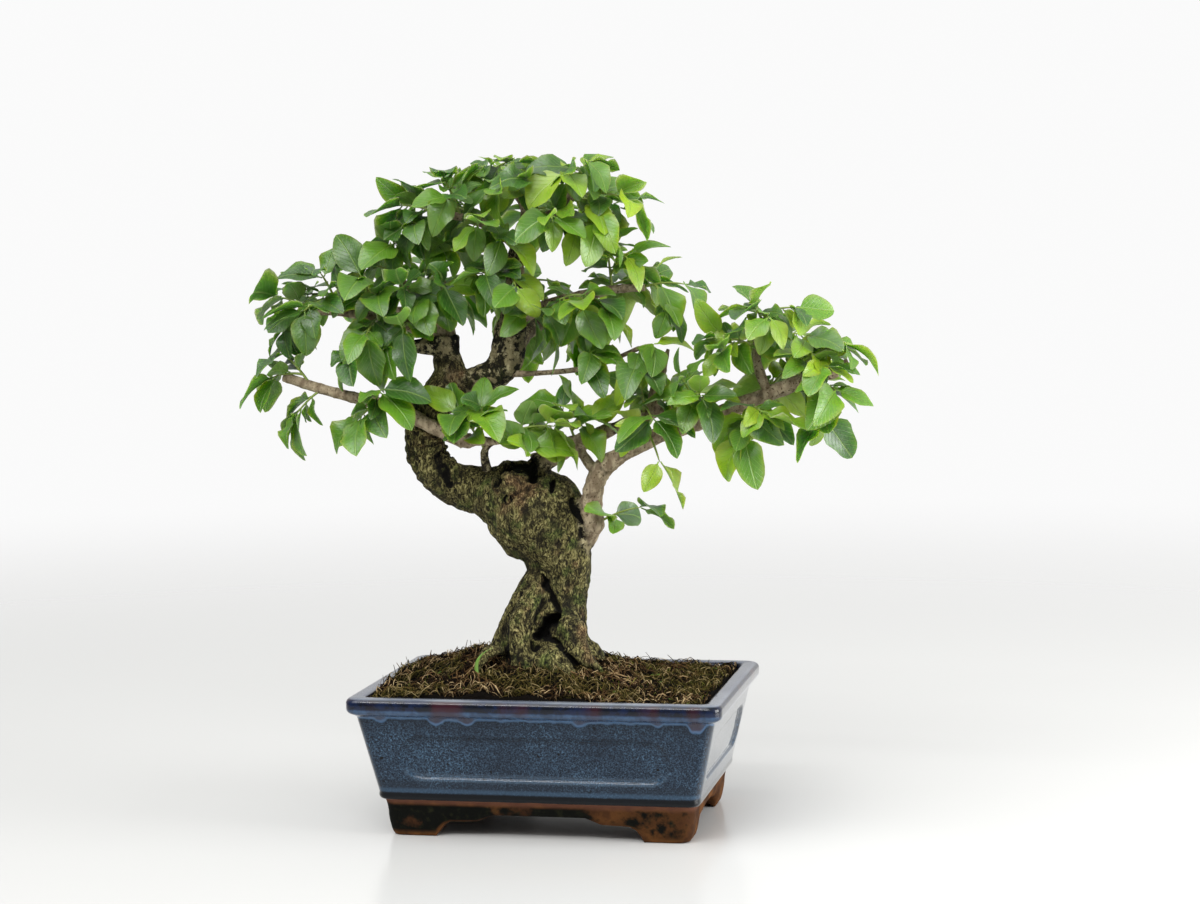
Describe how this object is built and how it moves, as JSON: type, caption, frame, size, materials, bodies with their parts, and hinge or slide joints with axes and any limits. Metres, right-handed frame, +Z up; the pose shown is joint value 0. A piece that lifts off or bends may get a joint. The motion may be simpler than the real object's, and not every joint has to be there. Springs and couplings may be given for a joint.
{
  "type": "mandarin bonsai",
  "caption": "Small broadleaf bonsai with a bent, burred trunk and leafy sprays, growing in the soil of a glazed rectangular pot on bracket feet.",
  "frame": {"origin": "middle of the bounding box on the plane that the pot stands on", "axes": "+Z up along the tree, +X along the long side of the pot towards the long right-hand limb, +Y towards the back"},
  "size_m": [0.4292, 0.2062, 0.4495],
  "materials": {
    "glaze": "slate-blue speckled glossy glaze, bare terracotta foot band",
    "soil": "matte fibrous peat and rootlets",
    "bark": "rough olive-grey bark",
    "foliage": "satin, slightly translucent leaf",
    "grass": "satin leaf",
    "drain_mesh": "matte moulded plastic"
  },
  "bodies": {
    "root": {"pot": "glaze", "drain_mesh_1": "drain_mesh", "drain_mesh_2": "drain_mesh", "soil": "soil", "trunk": "bark", "grass_blade": "grass", "spray_apex_back_tip": "foliage", "spray_apex_crown": "foliage", "spray_apex_east": "foliage", "spray_apex_east_back": "foliage", "spray_apex_east_front": "foliage", "spray_apex_top": "foliage", "spray_apex_top_back": "foliage", "spray_apex_top_front": "foliage", "spray_apex_west": "foliage", "spray_apex_west_back": "foliage", "spray_apex_west_front": "foliage", "spray_apex_west_top": "foliage", "spray_back_east": "foliage", "spray_back_tip": "foliage", "spray_back_west": "foliage", "spray_cut_inner": "foliage", "spray_cut_low": "foliage", "spray_cut_west": "foliage", "spray_head_east": "foliage", "spray_head_west": "foliage", "spray_inner_crown": "foliage", "spray_inner_front": "foliage", "spray_left_back_tip": "foliage", "spray_left_back_top": "foliage", "spray_left_crown": "foliage", "spray_left_crown_front": "foliage", "spray_left_crown_west": "foliage", "spray_left_inner_front": "foliage", "spray_left_mid_front": "foliage", "spray_left_mid_top": "foliage", "spray_left_outer": "foliage", "spray_left_tip": "foliage", "spray_low_twig": "foliage", "spray_mid_back": "foliage", "spray_mid_front": "foliage", "spray_mid_tip": "foliage", "spray_mid_top": "foliage", "spray_right_back": "foliage", "spray_right_crown": "foliage", "spray_right_crown_back": "foliage", "spray_right_crown_west": "foliage", "spray_right_inner": "foliage", "spray_right_low": "foliage", "spray_right_outer_low": "foliage", "spray_right_outer_top": "foliage", "spray_right_rise": "foliage", "spray_second_back": "foliage", "spray_second_mid": "foliage", "spray_second_top": "foliage", "spray_stem_back": "foliage", "spray_stem_east_front": "foliage", "spray_stem_west_front": "foliage", "spray_twig_mid": "foliage", "spray_twig_tip": "foliage"}
  },
  "joints": []
}
